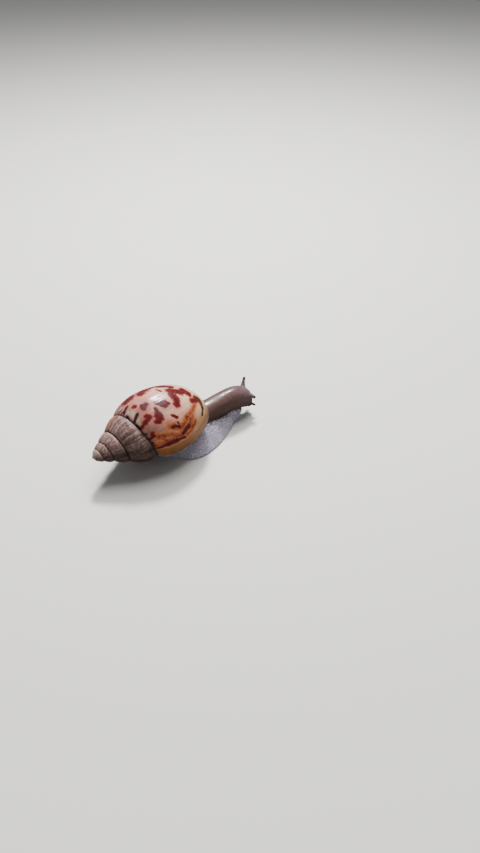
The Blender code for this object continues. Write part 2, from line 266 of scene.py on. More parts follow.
# each mark runs between two places, given as turn and share across from suture to base,
# and has a width in mm
shellMarks = {
    "blots": (
        ((-0.485, 0.14), (-0.485, 0.17), 2.6), ((-0.485, 0.17), (-0.495, 0.21), 3.4),
        ((-0.452, 0.28), (-0.46, 0.3), 2.0), ((-0.46, 0.31), (-0.48, 0.36), 2.8),
        ((-0.48, 0.41), (-0.485, 0.48), 2.2), ((-0.43, 0.43), (-0.405, 0.44), 0.7),
        ((-0.385, 0.51), (-0.338, 0.6), 2.2), ((-0.36, 0.49), (-0.335, 0.48), 2.2),
        ((-0.33, 0.485), (-0.308, 0.44), 2.3), ((-0.41, 0.125), (-0.405, 0.13), 1.3),
        ((-0.385, 0.17), (-0.366, 0.16), 1.1), ((-0.381, 0.21), (-0.372, 0.175), 1.2),
        ((-0.36, 0.35), (-0.342, 0.33), 1.7), ((-0.355, 0.3), (-0.33, 0.34), 1.4),
        ((-0.347, 0.37), (-0.33, 0.38), 0.8), ((-0.34, 0.235), (-0.318, 0.22), 0.9),
        ((-0.31, 0.21), (-0.293, 0.2), 1.9), ((-0.289, 0.165), (-0.284, 0.17), 1.4),
        ((-0.33, 0.13), (-0.321, 0.14), 1.4), ((-0.318, 0.13), (-0.308, 0.08), 1.4),
        ((-0.306, 0.06), (-0.296, 0.02), 0.9), ((-0.278, 0.33), (-0.262, 0.35), 0.9),
        ((-0.234, 0.24), (-0.232, 0.29), 1.0), ((-0.232, 0.29), (-0.22, 0.32), 1.1),
        ((-0.243, 0.33), (-0.236, 0.33), 0.6), ((-0.157, 0.02), (-0.17, 0.12), 0.9),
        ((-0.17, 0.12), (-0.168, 0.21), 1.6), ((-0.168, 0.21), (-0.16, 0.31), 1.0),
        ((-0.2, 0.4), (-0.184, 0.31), 1.3), ((-0.262, 0.7), (-0.228, 0.73), 2.0),
        ((-0.251, 0.07), (-0.236, 0.06), 1.1), ((-0.236, 0.06), (-0.226, 0.02), 1.0),
        ((-0.455, 0.5), (-0.435, 0.53), 2.0), ((-0.435, 0.53), (-0.4, 0.58), 1.8),
        ((-0.35, 0.64), (-0.3, 0.66), 2.0), ((-0.27, 0.62), (-0.24, 0.7), 1.6),
    ),
    "rusts": (
        ((-0.247, 0.65), (-0.239, 0.55), 1.5), ((-0.239, 0.55), (-0.238, 0.44), 1.4),
        ((-0.238, 0.44), (-0.216, 0.35), 1.5), ((-0.218, 0.49), (-0.204, 0.4), 2.0),
        ((-0.2, 0.19), (-0.174, 0.3), 1.7), ((-0.225, 0.09), (-0.205, 0.19), 1.7),
        ((-0.21, 0.1), (-0.176, 0.17), 1.1), ((-0.24, 0.24), (-0.212, 0.33), 2.2),
        ((-0.19, 0.5), (-0.17, 0.35), 1.5), ((-0.175, 0.03), (-0.183, 0.25), 2.2),
    ),
    "bars": (
        ((-0.547, 0.03), (-0.553, 0.1), 0.5), ((-0.523, 0.02), (-0.53, 0.09), 0.5),
        ((-0.5, 0.02), (-0.5, 0.09), 0.5), ((-0.478, 0.02), (-0.462, 0.05), 0.4),
        ((-0.442, 0.1), (-0.43, 0.03), 0.9), ((-0.452, 0.02), (-0.436, 0.05), 0.5),
        ((-0.401, 0.02), (-0.386, 0.01), 0.8), ((-0.365, 0.09), (-0.345, 0.02), 0.95),
        ((-0.326, 0.01), (-0.296, 0.015), 0.7), ((-0.26, 0.02), (-0.256, 0.02), 0.6),
        ((-0.204, 0.02), (-0.18, 0.02), 0.6),
    ),
    "pales": (
        ((-0.392, 0.07), (-0.36, 0.055), 1.4), ((-0.337, 0.05), (-0.322, 0.03), 1.1),
        ((-0.415, 0.06), (-0.4, 0.05), 0.6), ((-0.2, 0.76), (-0.165, 0.7), 1.8),
    ),
    # painted reflection: the glint's haze on the blots under it, as mauve marks
    "mauves": (
        ((-0.362, 0.34), (-0.335, 0.335), 3.4), ((-0.38, 0.19), (-0.37, 0.17), 2.6),
        ((-0.338, 0.25), (-0.31, 0.225), 1.6),
    ),
    "stains": (
        ((-0.245, 0.735), (-0.218, 0.735), 1.9), ((-0.218, 0.735), (-0.185, 0.69), 1.9),
        ((-0.185, 0.69), (-0.172, 0.63), 1.1),
    ),
}
markNames = ("pale", "rust", "blot", "mauve", "bar", "stain")
shellFields = markNames + ("turn", "across", "inside", "seam", "rib", "up")
markScale = {
    "turn": 68,               # mm that a turn runs, at the lip
    "across": 32,             # mm from suture to base, at the lip
    "reach": 0.12,            # turns from a mark's ends beyond which it isn't measured
}
# on the side that the lip turns away from, bars and blots are strewn about
farMarks = {
    "barTurns": (-1.03, -0.57),
    "barStep": 0.031,
    "blotTurns": (-0.55, -1.07),
    "blotDown": (0.18, 0.82),
    "blotCount": 34,
}


def fraction(value):
    return value - math.floor(value)


def strewMarks():
    turn, end = farMarks["barTurns"]
    bars = []
    while turn < end:
        count = len(bars)
        foot = 0.085 + 0.035 * fraction(count * 0.618)
        bars.append(((turn, 0.02), (turn - 0.006, foot), 0.5 + 0.5 * fraction(count * 0.37)))
        turn += farMarks["barStep"] * (0.85 + 0.3 * fraction(count * 0.71))
    blots, rusts = [], []
    for i in range(farMarks["blotCount"]):
        turn = mixed(*farMarks["blotTurns"], fraction(i * 0.755 + 0.1))
        down = mixed(*farMarks["blotDown"], fraction(i * 0.57 + 0.3))
        reach = 0.02 + 0.05 * fraction(i * 0.77)
        blots.append(((turn, down - reach), (turn + 0.025 * math.sin(i * 1.3), down + reach),
                      1.0 + 1.3 * fraction(i * 0.53)))
        rusts.append(((turn + 0.03, down), (turn + 0.035, down + 0.12), 1.7))
    shellMarks["bars"] += tuple(bars)
    shellMarks["blots"] += tuple(blots)
    shellMarks["rusts"] += tuple(rusts)


def markField(marks, turn, across, perTurn, perAcross):
    # 1 on a mark's middle line, 0 at its edge and less further out
    best = -2.0
    for (turnA, downA), (turnB, downB), width in marks:
        if min(abs(turn - turnA), abs(turn - turnB)) > markScale["reach"]:
            continue
        ax, ay = (turn - turnA) * perTurn, (across - downA) * perAcross
        bx, by = (turnB - turnA) * perTurn, (downB - downA) * perAcross
        t = min(max((ax * bx + ay * by) / (bx * bx + by * by + 1e-9), 0), 1)
        best = max(best, 1 - math.hypot(ax - bx * t, ay - by * t) / (width / 2))
    return best


def seamAt(turn, k):
    # 1 in the suture above a whorl, and from the one below it to where the tuck ends
    upper, wall, _ = shellMesh["across"]
    below, above = shellMesh["seamFaces"]
    past = k - upper - wall
    closing = (past - shellMesh["tuck"] + shellMesh["tuckEnd"]) / shellMesh["tuckEnd"]
    away = max(-past / above, closing, 0)
    covered = turn < shellShape["lipAt"] - 0.98
    return 1 - min(k / below, away if covered else 1, 1)


# growth lines: turns and shares across that a rib takes, its height in mm, and what the spire adds
shellRibs = {
    "fine": {"perTurn": 110, "perAcross": 1.5, "row": 3.1, "height": 0.035, "onSpire": 0.06},
    "coarse": {"perTurn": 34, "perAcross": 1.2, "row": 7.7, "height": 0.055, "onSpire": 0.14},
    "spireFrom": (0.9, 1.3),
    "swellPerMm": 0.22,
    "swell": 0.08,
}


def ribHeight(turn, across, place):
    # irregular ribs that follow the lip, on a gently uneven wall, in mm
    spire = ramp(-turn, *shellRibs["spireFrom"])
    height = shellRibs["swell"] * noise.noise(place * shellRibs["swellPerMm"])
    for rib in (shellRibs["fine"], shellRibs["coarse"]):
        wave = noise.noise(Vector((turn * rib["perTurn"], across * rib["perAcross"], rib["row"])))
        height += (rib["height"] + rib["onSpire"] * spire) * wave
    return height * sizeAt(turn, shellShape["lipGrowth"]["radius"])


def shellRows():
    # turn of each row and its depth inside the wall, from the apex out, round the lip and back in
    lip, turns, rim = shellShape["lipAt"], shellShape["turns"], shellMesh["rim"]
    bodyRows = round(shellMesh["bodyTurns"] * shellMesh["bodyRows"])
    spireTurns = turns - shellMesh["bodyTurns"]
    spireRows = round(spireTurns * shellMesh["spireRows"])
    rows = [(-turns + spireTurns * i / spireRows + lip, 0) for i in range(spireRows)]
    rows += [(-shellMesh["bodyTurns"] * (1 - i / bodyRows) + lip, 0) for i in range(bodyRows + 1)]
    outer = len(rows) - 1
    for angle in map(math.radians, shellMesh["rimAngles"]):
        rows.append((lip + math.sin(angle) * shellMesh["rimTurns"], rim * (0.5 - 0.5 * math.cos(angle))))
    for i in range(shellMesh["insideRows"] + 1):
        # closer rows near the lip, where the wall thickens
        back = shellMesh["inside"] * (i / shellMesh["insideRows"]) ** 1.4
        rows.append((lip - back, rim * mixed(1, shellMesh["insideDepth"], ramp(back, 0, 0.12))))
    return rows, outer


def buriedFaces(bm, at, rows):
    # wall that the next whorl covers, but for a tuck and for what the aperture shows
    upper, wall, base = shellMesh["across"]
    covered = shellShape["lipAt"] - 1 - shellMesh["inside"]
    return [bm.faces.get((at[step, k], at[step + 1, k], at[step + 1, k + 1], at[step, k + 1]))
            for step in range(len(rows) - 1) if rows[step + 1][0] < covered
            for k in range(upper + wall + shellMesh["tuck"], upper + wall + base)]


def shellPoint(turn, k, depth):
    leaned = turn + leanAt(k)
    if depth:
        return coilPoint(leaned, insetPoint(leaned, k, depth))
    # the first row reaches in under the whorl above, so that the two never merge
    overlaps = k == 0 and turn > 1.5 - shellShape["turns"]
    return coilPoint(leaned, profilePoint(leaned, -1 if overlaps else k))


def dressWall(vert, layers, turn, k):
    # ribs, suture and marks of the outer wall; it is quiet where whorls meet and on the columella
    across = sum(shellMesh["across"])
    size = sizeAt(turn, shellShape["lipGrowth"]["radius"])
    tall = sizeAt(turn, shellShape["lipGrowth"]["base"])
    atSuture, atBase = shellMesh["quietFaces"]
    seam = seamAt(turn, k)
    quiet = (1 - seam) * ramp(k, 0, atSuture) * ramp(across - k, 0, atBase)
    vert[layers["rib"]] = ribHeight(turn, k / across, vert.co) * quiet - shellMesh["seam"] * size * seam
    vert[layers["seam"]] = seam
    for name in markNames:
        vert[layers[name]] = markField(shellMarks[name + "s"], turn, k / across,
                                       markScale["turn"] * size, markScale["across"] * tall)


def makeShell(shading):
    across = sum(shellMesh["across"])
    rows, outer = shellRows()
    last = len(rows) - 1
    bm = bmesh.new()
    bmesh.ops.create_grid(bm, x_segments=last, y_segments=across, size=0.5)
    layers = {name: bm.verts.layers.float.new(name) for name in shellFields}
    at = {(round((vert.co.x + 0.5) * last), round((vert.co.y + 0.5) * across)): vert for vert in bm.verts}
    buried = buriedFaces(bm, at, rows[:outer + 1])
    for (step, k), vert in at.items():
        turn, depth = rows[step]
        vert.co = shellPoint(turn, k, depth)
        vert[layers["turn"]], vert[layers["across"]] = turn, k / across
        if step <= outer:
            dressWall(vert, layers, turn, k)
            continue
        vert[layers["inside"]] = 1
        for name in markNames:
            vert[layers[name]] = -2  # none
    bmesh.ops.delete(bm, geom=buried, context="FACES")
    bmesh.ops.remove_doubles(bm, verts=bm.verts, dist=shellMesh["merge"])
    bmesh.ops.dissolve_degenerate(bm, edges=bm.edges, dist=shellMesh["merge"])
    bmesh.ops.recalc_face_normals(bm, faces=bm.faces)
    middle = Vector(shellShape["centre"])
    if sum(f.normal.dot(f.calc_center_median() - middle) for f in bm.faces) < 0:
        bmesh.ops.reverse_faces(bm, faces=bm.faces)
    bm.normal_update()
    for vert in bm.verts:
        vert[layers["up"]] = vert.normal.z
    moves = [(vert, vert.normal * (vert[layers["rib"]] - shellMesh["sink"])) for vert in bm.verts
             if vert[layers["inside"]] < 0.5]
    for vert, move in moves:
        vert.co += move
    return newObject("snail_shell", bm, shading)


def shellGround(tree, field):
    # mauve peach under the suture, peach on the swell, cream and then tan towards base and lip
    downShare = addNode(tree, "MapRange", {"Value": field["across"], "From Min": 0.12, "From Max": 0.34})
    ground = addNode(tree, "Mix", {0: downShare, 6: hexColour("#9C6A62"), 7: hexColour("#CB9181")},
                     data_type="RGBA")
    creamShare = addNode(tree, "MapRange", {"Value": field["across"], "From Min": 0.34, "From Max": 0.62})
    ground = addNode(tree, "Mix", {0: creamShare, 6: ground, 7: hexColour("#D4AE8C")}, data_type="RGBA")
    nearLip = addNode(tree, "MapRange", {"Value": field["turn"], "From Min": -0.3, "From Max": -0.14})
    ground = addNode(tree, "Mix", {0: nearLip, 6: ground, 7: hexColour("#B98A5C")}, data_type="RGBA")
    byTurn = addNode(tree, "MapRange", {"Value": field["turn"], "From Min": -0.35, "From Max": -0.25})
    bySeam = addNode(tree, "MapRange", {"Value": field["across"], "From Min": 0.05, "From Max": 0.2,
                                        "To Min": 0.8, "To Max": 0.0})
    dusky = addNode(tree, "Math", {0: byTurn, 1: bySeam}, operation="MULTIPLY")
    ground = addNode(tree, "Mix", {0: dusky, 6: ground, 7: hexColour("#7A5048")}, data_type="RGBA")
    clouds = addNode(tree, "MapRange", {"Value": field["softNoise"], "From Min": 0.42, "From Max": 0.75,
                                        "To Max": 0.45})
    return addNode(tree, "Mix", {0: clouds, 6: ground, 7: hexColour("#D9BDAE")}, data_type="RGBA")


def shellMarkings(tree, field, colour):
    # soft rusty flames, then blots with torn edges and a warm rim, a mauve tint over some of them that is
    # painted reflection of the glint's haze, then bars under the suture; each layer has its spread, the
    # field values where it starts and is full, its colour
    for name, spread, low, high, hexes in (
            ("pale", 0.6, -0.5, 0.4, "#A8947F"), ("rust", 0.9, -1.6, 0.3, "#BA7048"),
            ("rust", 1.6, -0.4, 1.0, "#94452A"), ("rust", 1.8, 0.5, 1.6, "#6C2412"),
            ("blot", 0.9, -0.7, 0.2, "#A24C36"), ("blot", 0.8, -0.35, 0.35, "#601E20"),
            ("blot", 1.8, 0.4, 1.5, "#3E0E12"), ("mauve", 1.0, -1.0, 2.2, "#543A42"),
            ("bar", 0.8, -0.6, 0.4, "#34191A"), ("stain", 1.0, -0.6, 0.4, "#4E2814")):
        shift = addNode(tree, "Math", {0: field["edgeNoise"], 1: 0.5}, operation="SUBTRACT")
        torn = addNode(tree, "Math", {0: shift, 1: spread * 2, 2: field[name]}, operation="MULTIPLY_ADD")
        share = addNode(tree, "MapRange", {"Value": torn, "From Min": low, "From Max": high},
                        interpolation_type="SMOOTHSTEP")
        colour = addNode(tree, "Mix", {0: share, 6: colour, 7: hexColour(hexes)}, data_type="RGBA")
    return colour


def wornShell(tree, field):
    # the spire has lost its polish: taupe, with dark lines and hollows and a pale, chalky tip
    wornShare = addNode(tree, "MapRange", {"Value": field["wornNoise"], "From Min": 0.35,
                                           "From Max": 0.68})
    worn = addNode(tree, "Mix", {0: wornShare, 6: hexColour("#664A40"), 7: hexColour("#A98C88")},
                   data_type="RGBA")
    streaks = addNode(tree, "MapRange", {"Value": field["streakLines"], "From Min": 0.53,
                                         "From Max": 0.66, "To Max": 0.75})
    worn = addNode(tree, "Mix", {0: streaks, 6: worn, 7: hexColour("#2E1C16")}, data_type="RGBA")
    hollows = addNode(tree, "MapRange", {"Value": field["rib"], "From Min": -0.08, "From Max": 0.0,
                                         "To Min": 0.6, "To Max": 0.0})
    worn = addNode(tree, "Mix", {0: hollows, 6: worn, 7: hexColour("#3C2821")}, data_type="RGBA")
    tip = addNode(tree, "MapRange", {"Value": field["turn"], "From Min": -4.6, "From Max": -3.3,
                                     "To Min": 0.85, "To Max": 0.0})
    worn = addNode(tree, "Mix", {0: tip, 6: worn, 7: hexColour("#AC968A")}, data_type="RGBA")
    # a rest in the growth, with older and browner shell behind it
    restTurn = -1.441
    wobbly = addNode(tree, "Math", {0: field["softNoise"], 1: 0.03, 2: field["turn"]},
                     operation="MULTIPLY_ADD")
    behind = addNode(tree, "MapRange", {"Value": wobbly, "From Min": -1.455, "From Max": -1.44,
                                        "To Min": 0.6, "To Max": 0.0})
    recent = addNode(tree, "MapRange", {"Value": wobbly, "From Min": -1.75, "From Max": -1.6})
    browner = addNode(tree, "Math", {0: behind, 1: recent}, operation="MULTIPLY")
    worn = addNode(tree, "Mix", {0: browner, 6: worn, 7: hexColour("#8A5436")}, data_type="RGBA")
    fromRest = addNode(tree, "Math", {0: wobbly, 1: -restTurn}, operation="ADD")
    fromRest = addNode(tree, "Math", {0: fromRest}, operation="ABSOLUTE")
    restLine = addNode(tree, "MapRange", {"Value": fromRest, "From Max": 0.008,
                                          "To Min": 0.9, "To Max": 0.0})
    worn = addNode(tree, "Mix", {0: restLine, 6: worn, 7: hexColour("#2E1C16")}, data_type="RGBA")
    # painted shade: the spire's sides that face down are darkened once more
    spireShadeBelow = addNode(tree, "MapRange", {"Value": field["up"], "From Min": 0.1, "From Max": 0.8,
                                         "To Min": 0.44, "To Max": 1.08})
    return addNode(tree, "VectorMath", {0: worn, "Scale": spireShadeBelow}, operation="SCALE")


def lipAndInside(tree, field, colour):
    # plain tan new growth at the lip, its pale edge, and the pearly inner wall
    ragged = addNode(tree, "Math", {0: field["softNoise"], 1: 0.03, 2: field["turn"]},
                     operation="MULTIPLY_ADD")
    band = addNode(tree, "MapRange", {"Value": ragged, "From Min": -0.142, "From Max": -0.125},
                   interpolation_type="SMOOTHSTEP")
    tanShare = addNode(tree, "MapRange", {"Value": field["across"], "From Min": 0.15, "From Max": 0.5})
    tan = addNode(tree, "Mix", {0: tanShare, 6: hexColour("#8C5C32"), 7: hexColour("#A27A58")},
                  data_type="RGBA")
    colour = addNode(tree, "Mix", {0: band, 6: colour, 7: tan}, data_type="RGBA")
    edge = addNode(tree, "MapRange", {"Value": field["turn"], "From Min": -0.051, "From Max": -0.046})
    colour = addNode(tree, "Mix", {0: edge, 6: colour, 7: hexColour("#DDC2A0")}, data_type="RGBA")
    return addNode(tree, "Mix", {0: field["inside"], 6: colour, 7: hexColour("#CFC8C6")},
                   data_type="RGBA")


def shellMaterial():
    # polished calcareous shell under a thin horny layer: glossy on the last whorl, worn dull above
    made, tree, shader, place = newMaterial("polished snail shell", Coat_Roughness=0.1,
                                            Coat_IOR=1.5, Subsurface_Weight=0.1, Subsurface_Scale=0.0012)
    shader.inputs["Subsurface Radius"].default_value = (1.0, 0.6, 0.4)
    field = {name: addNode(tree, "Attribute", attribute_name=name) for name in shellFields}
    # coordinates in mm that run with the growth, drawn out along the growth lines
    runMm = addNode(tree, "Math", {0: field["turn"], 1: 70.0}, operation="MULTIPLY")
    downMm = addNode(tree, "Math", {0: field["across"], 1: 2.5}, operation="MULTIPLY")
    lines = addNode(tree, "CombineXYZ", {0: runMm, 1: downMm})
    for name, where, scale, detail, rough in (
            ("edgeNoise", place, 1.1, 4.0, 0.6), ("softNoise", place, 0.25, 3.0, 0.5),
            ("wornNoise", place, 1.3, 5.0, 0.65), ("fineLines", lines, 1.7, 3.0, 0.6),
            ("streakLines", lines, 0.6, 3.0, 0.6)):
        field[name] = addNode(tree, "TexNoise", {"Vector": where, "Scale": scale, "Detail": detail,
                                                 "Roughness": rough})
    colour = shellMarkings(tree, field, shellGround(tree, field))
    ragged = addNode(tree, "Math", {0: field["softNoise"], 1: 0.14, 2: field["turn"]},
                     operation="MULTIPLY_ADD")
    spire = addNode(tree, "MapRange", {"Value": ragged, "From Min": -0.97, "From Max": -0.9,
                                       "To Min": 1.0, "To Max": 0.0})
    colour = addNode(tree, "Mix", {0: spire, 6: colour, 7: wornShell(tree, field)}, data_type="RGBA")
    # darker in the suture
    sutureDark = addNode(tree, "MapRange", {"Value": field["seam"], "From Min": 0.2, "From Max": 0.9,
                                      "To Max": 0.9})
    colour = addNode(tree, "Mix", {0: sutureDark, 6: colour, 7: hexColour("#2A1A14")}, data_type="RGBA")
    colour = lipAndInside(tree, field, colour)
    # growth lines tint everything a little, and the sides that face down are darkened with painted shade,
    # made uneven by noise
    tint = addNode(tree, "MapRange", {"Value": field["fineLines"], "From Min": 0.3, "From Max": 0.7,
                                      "To Min": 0.82, "To Max": 1.08})
    shadeBelow = addNode(tree, "Math", {0: field["softNoise"], 1: 0.4, 2: field["up"]},
                     operation="MULTIPLY_ADD")
    shadeBelow = addNode(tree, "MapRange", {"Value": shadeBelow, "From Min": -0.3, "From Max": 0.6,
                                        "To Min": 0.46})
    shade = addNode(tree, "Math", {0: tint, 1: shadeBelow}, operation="MULTIPLY")
    tinted = addNode(tree, "VectorMath", {0: colour, "Scale": shade}, operation="SCALE")
    tree.links.new(tinted.outputs[0], shader.inputs["Base Color"])
    polish = addNode(tree, "MapRange", {"Value": field["wornNoise"], "From Min": 0.3, "From Max": 0.7,
                                        "To Min": 0.16, "To Max": 0.3})
    rough = addNode(tree, "Math", {0: spire, 1: 0.25, 2: polish}, operation="MULTIPLY_ADD")
    tree.links.new(rough.outputs[0], shader.inputs["Roughness"])
    # gloss that fades towards the underside and at the rim, where it would veil the marks
    height = addNode(tree, "SeparateXYZ", {0: place}).outputs[2]
    facing = addNode(tree, "LayerWeight", {"Blend": 0.5}).outputs["Facing"]
    rim = addNode(tree, "MapRange", {"Value": facing, "From Min": 0.5, "From Max": 0.95,
                                     "To Min": 1.0, "To Max": 0.25})
    for label, most in (("Specular IOR Level", 0.29), ("Coat Weight", 0.14)):
        gloss = addNode(tree, "MapRange", {"Value": height, "From Min": 9.0, "From Max": 22.0,
                                           "To Min": most * 0.1, "To Max": most})
        gloss = addNode(tree, "Math", {0: gloss, 1: rim}, operation="MULTIPLY")
        tree.links.new(gloss.outputs[0], shader.inputs[label])
    grain = addNode(tree, "Bump", {"Strength": 0.4, "Distance": 0.00006, "Height": field["fineLines"]})
    pits = addNode(tree, "Bump", {"Strength": 0.3, "Distance": 0.00008, "Height": field["wornNoise"],
                                  "Normal": grain})
    tree.links.new(pits.outputs[0], shader.inputs["Normal"])
    return made


strewMarks()
shellPiece = makeShell(shellMaterial())
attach(shellPiece, "root")
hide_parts("shell")
print("shell", len(shellPiece.data.polygons), flush=True)


bodyShape = {
    # from the tail's tip forwards: x, middle line, half width, height at the middle, lift
    "foot": (
        (-19.6, 2.3, 0.7, 0.7, 0), (-18.6, 2.2, 1.6, 1.3, 0), (-16, 1.9, 2.9, 2.1, 0),
        (-12, 1.8, 4.2, 3.5, 0), (-7.5, 1.1, 5.9, 5.5, 0), (-2, -0.7, 9, 7.6, 0),
        (3, -1.2, 9.7, 8.2, 0), (8.5, -0.9, 8.7, 8, 0), (12.5, -0.2, 7.5, 7.8, 0),
        (16.5, 0.5, 5.8, 7.4, 0), (20, 0.9, 3.7, 6.2, 0.1), (23, 1, 2.3, 4.6, 1), (25, 1, 0.9, 3.2, 1.9),
    ),
    "footRise": 1.55,    # power of the curve from the foot's margin up to its middle
    "margin": 0.45,      # height of the foot's edge
    # neck and head: x, y, z of the middle line, half width, half height
    "neck": (
        (-4, 0.6, 7.6, 4.6, 4), (4, 0.6, 7.2, 4.5, 4.1), (11.6, 0.9, 7.2, 4, 4),
        (17.6, 0.9, 8.3, 3.8, 3.9), (21.6, 0.9, 8.5, 3.75, 4.1), (24.2, 0.8, 7.8, 3.7, 4),
        (25.9, 0.7, 6.5, 3.35, 3.5), (27, 0.6, 5.4, 2.75, 2.7), (27.8, 0.55, 4.7, 1.95, 1.9),
        (28.2, 0.55, 4.3, 1.2, 1.1),
    ),
    # feelers at the root, two bends and the tip: x, y, z and radius
    "upperFeelers": (
        ((26.4, 2.2, 9, 1.25), (26.9, 2.8, 10.2, 0.75), (27.5, 3.4, 11.4, 0.5), (28.1, 3.8, 12.3, 0.48)),
        ((25.4, -0.1, 8.4, 1.7), (26.7, -0.9, 8.6, 1.2), (27.6, -1.6, 8.4, 0.8), (28.4, -2.2, 7.85, 0.52)),
    ),
    "lowerFeelers": (
        ((27.2, 2.2, 4.9, 0.65), (28, 2.6, 4.7, 0.5), (28.6, 2.9, 4.4, 0.42), (29, 3.1, 4.1, 0.38)),
        ((27.2, -0.9, 4.9, 0.65), (27.9, -1.3, 4.7, 0.5), (28.4, -1.7, 4.4, 0.42), (28.8, -1.9, 4.1, 0.38)),
    ),
    "feelerRoot": 0.9,   # how far a feeler goes on into the head
    "eyeSeat": 0.93,     # share of an upper feeler where the skin ends under the eye
    "mouth": ((27.8, 0.6, 3.4), (1.15, 1.35, 0.95)),
    "inset": 0.12,       # the skin lies this far inside those outlines, and its warts reach back out
}
bodyMesh = {
    "footRows": 110,
    "footAround": (48, 8),    # points over the back and along the sole
    "neckRows": 90,
    "neckAround": 48,
    "feelerRows": 24,
    "feelerAround": 20,
    "feelerTip": (25, 50, 75),  # bend of the rings that round it off, in degrees
    "mouthFaces": (32, 20),
    "voxel": 0.16,
    "smoothing": (0.5, 4),
}
wartShape = {
    "flankSize": (0.42, 0.66),  # across one wart, at the foot's margin and under the neck
    "flankHeight": 0.1,
    "neckSize": 0.4,
    "neckHeight": 0.02,
    "foldHeight": 0.05,
    "slant": 0.5,             # rows on the flank run down and back
    "flankFrom": (1.02, 1.6),  # from the neck's middle line, in its radii
    "headFrom": (24.6, 25.4),  # the head has the neck's skin all round
    "feelersFrom": (25.2, 26.5),
    "onFeelers": 0.3,
}


def footPoint(i, n):
    # over the back from the right margin to the left one, then back along the sole
    stations = bodyShape["foot"]
    back, sole = bodyMesh["footAround"]
    x = mixed(stations[0][0] + 0.1, stations[-1][0] - 0.1, i / bodyMesh["footRows"])
    _, middle, half, height, lift = smoothAt(stations, x)
    lift, inset = max(lift, 0), bodyShape["inset"]
    half, height = max(half - inset, 0.3), max(height - inset, 0.4)
    margin = min(bodyShape["margin"], half * 0.4)
    if n < back:
        y = -math.cos(math.pi * n / (back - 1))
        rise = (height - margin) * (1 - abs(y) ** bodyShape["footRise"])
        return Vector((x, middle + y * half, lift + margin + rise))
    y = mixed(1, -1, (n - back + 0.5) / sole) * (half - margin * 0.6) / half
    return Vector((x, middle + y * half, lift))


def neckFrame(x):
    stations = bodyShape["neck"]
    _, y, z, half, tall = smoothAt(stations, x)
    near = min(max(x, stations[0][0] + 0.1), stations[-1][0] - 0.1)
    along = Vector((smoothAt(stations, near + 0.1) - smoothAt(stations, near - 0.1))[:3]).normalized()
    side = Vector((0, 0, 1)).cross(along).normalized()
    return Vector((x, y, z)), side, along.cross(side), half, tall


def neckPoint(i, n):
    stations = bodyShape["neck"]
    share = i / bodyMesh["neckRows"]
    centre, side, up, half, tall = neckFrame(mixed(stations[0][0], stations[-1][0], share))
    angle = math.tau * n / bodyMesh["neckAround"]
    return (centre + side * math.cos(angle) * (half - bodyShape["inset"])
            + up * math.sin(angle) * (tall - bodyShape["inset"]))


def addFeeler(bm, rows, end):
    # its root reaches back into the head, and its tip is rounded by closing rings
    controls = [Vector(row) for row in rows]
    controls[0] -= (controls[1] - controls[0]).normalized() * bodyShape["feelerRoot"]
    straight, around, tip = bodyMesh["feelerRows"], bodyMesh["feelerAround"], bodyMesh["feelerTip"]

    def place(i, n):
        share = end * min(i, straight) / straight
        here = bezier(controls, share)
        along = (bezier(controls, share + 0.01) - bezier(controls, share - 0.01)).to_3d().normalized()
        side = along.cross(Vector((0.2, 0.1, 1))).normalized()
        angle = math.tau * n / around
        bend = math.radians(tip[i - straight - 1]) if i > straight else 0
        out = side * math.cos(angle) + side.cross(along) * math.sin(angle)
        return here.to_3d() + (out * math.cos(bend) + along * math.sin(bend)) * here.w

    wrappedGrid(bm, straight + len(tip), around, place)


def neckDepth(place):
    # 0 on the neck's middle line, 1 on its surface, more outside of it
    stations = bodyShape["neck"]
    centre, side, up, half, tall = neckFrame(min(max(place.x, stations[0][0]), stations[-1][0]))
    away = place - centre
    return math.hypot(away.dot(side) / half, away.dot(up) / tall)


def wart(place, size):
    # a field of rounded warts: 1 on their tops, 0 in the creases between them
    near, _ = noise.voronoi(place / size)
    return (1 - min(near[0] / 0.8, 1) ** 2) * min((near[1] - near[0]) / 0.5, 1) ** 0.7


def skinRelief(place, normal):
    # height in mm, how near it is to a wart's top, and how far down the foot it is from the neck
    away = ramp(neckDepth(place), *wartShape["flankFrom"]) * (1 - ramp(place.x, *wartShape["headFrom"]))
    flank = min(away * 6, 1)
    warped = place + noise.noise_vector(place * 0.5) * 0.35
    run = Vector((warped.x * 0.8 + warped.z * wartShape["slant"], warped.y * 0.9,
                  warped.z - warped.x * 0.18))
    onFlank = wart(run, mixed(*wartShape["flankSize"], ramp(place.z + 0.15 * place.x, 3.0, 6.0)))
    onNeck = wart(Vector((warped.x * 0.3, warped.y, warped.z)), wartShape["neckSize"])
    fold = noise.noise(Vector((place.x * 0.12, place.y * 1.1, place.z * 1.1)))
    height = mixed(onNeck * wartShape["neckHeight"] + fold * wartShape["foldHeight"],
                   onFlank * wartShape["flankHeight"], flank)
    thin = mixed(1, wartShape["onFeelers"], ramp(place.x, *wartShape["feelersFrom"]))
    # none on the sole, which lies flat
    sole = ramp(place.z, 0.12, 0.5) * ramp(normal.z, -0.85, -0.4)
    return height * sole * thin, mixed(onNeck, onFlank, flank), away


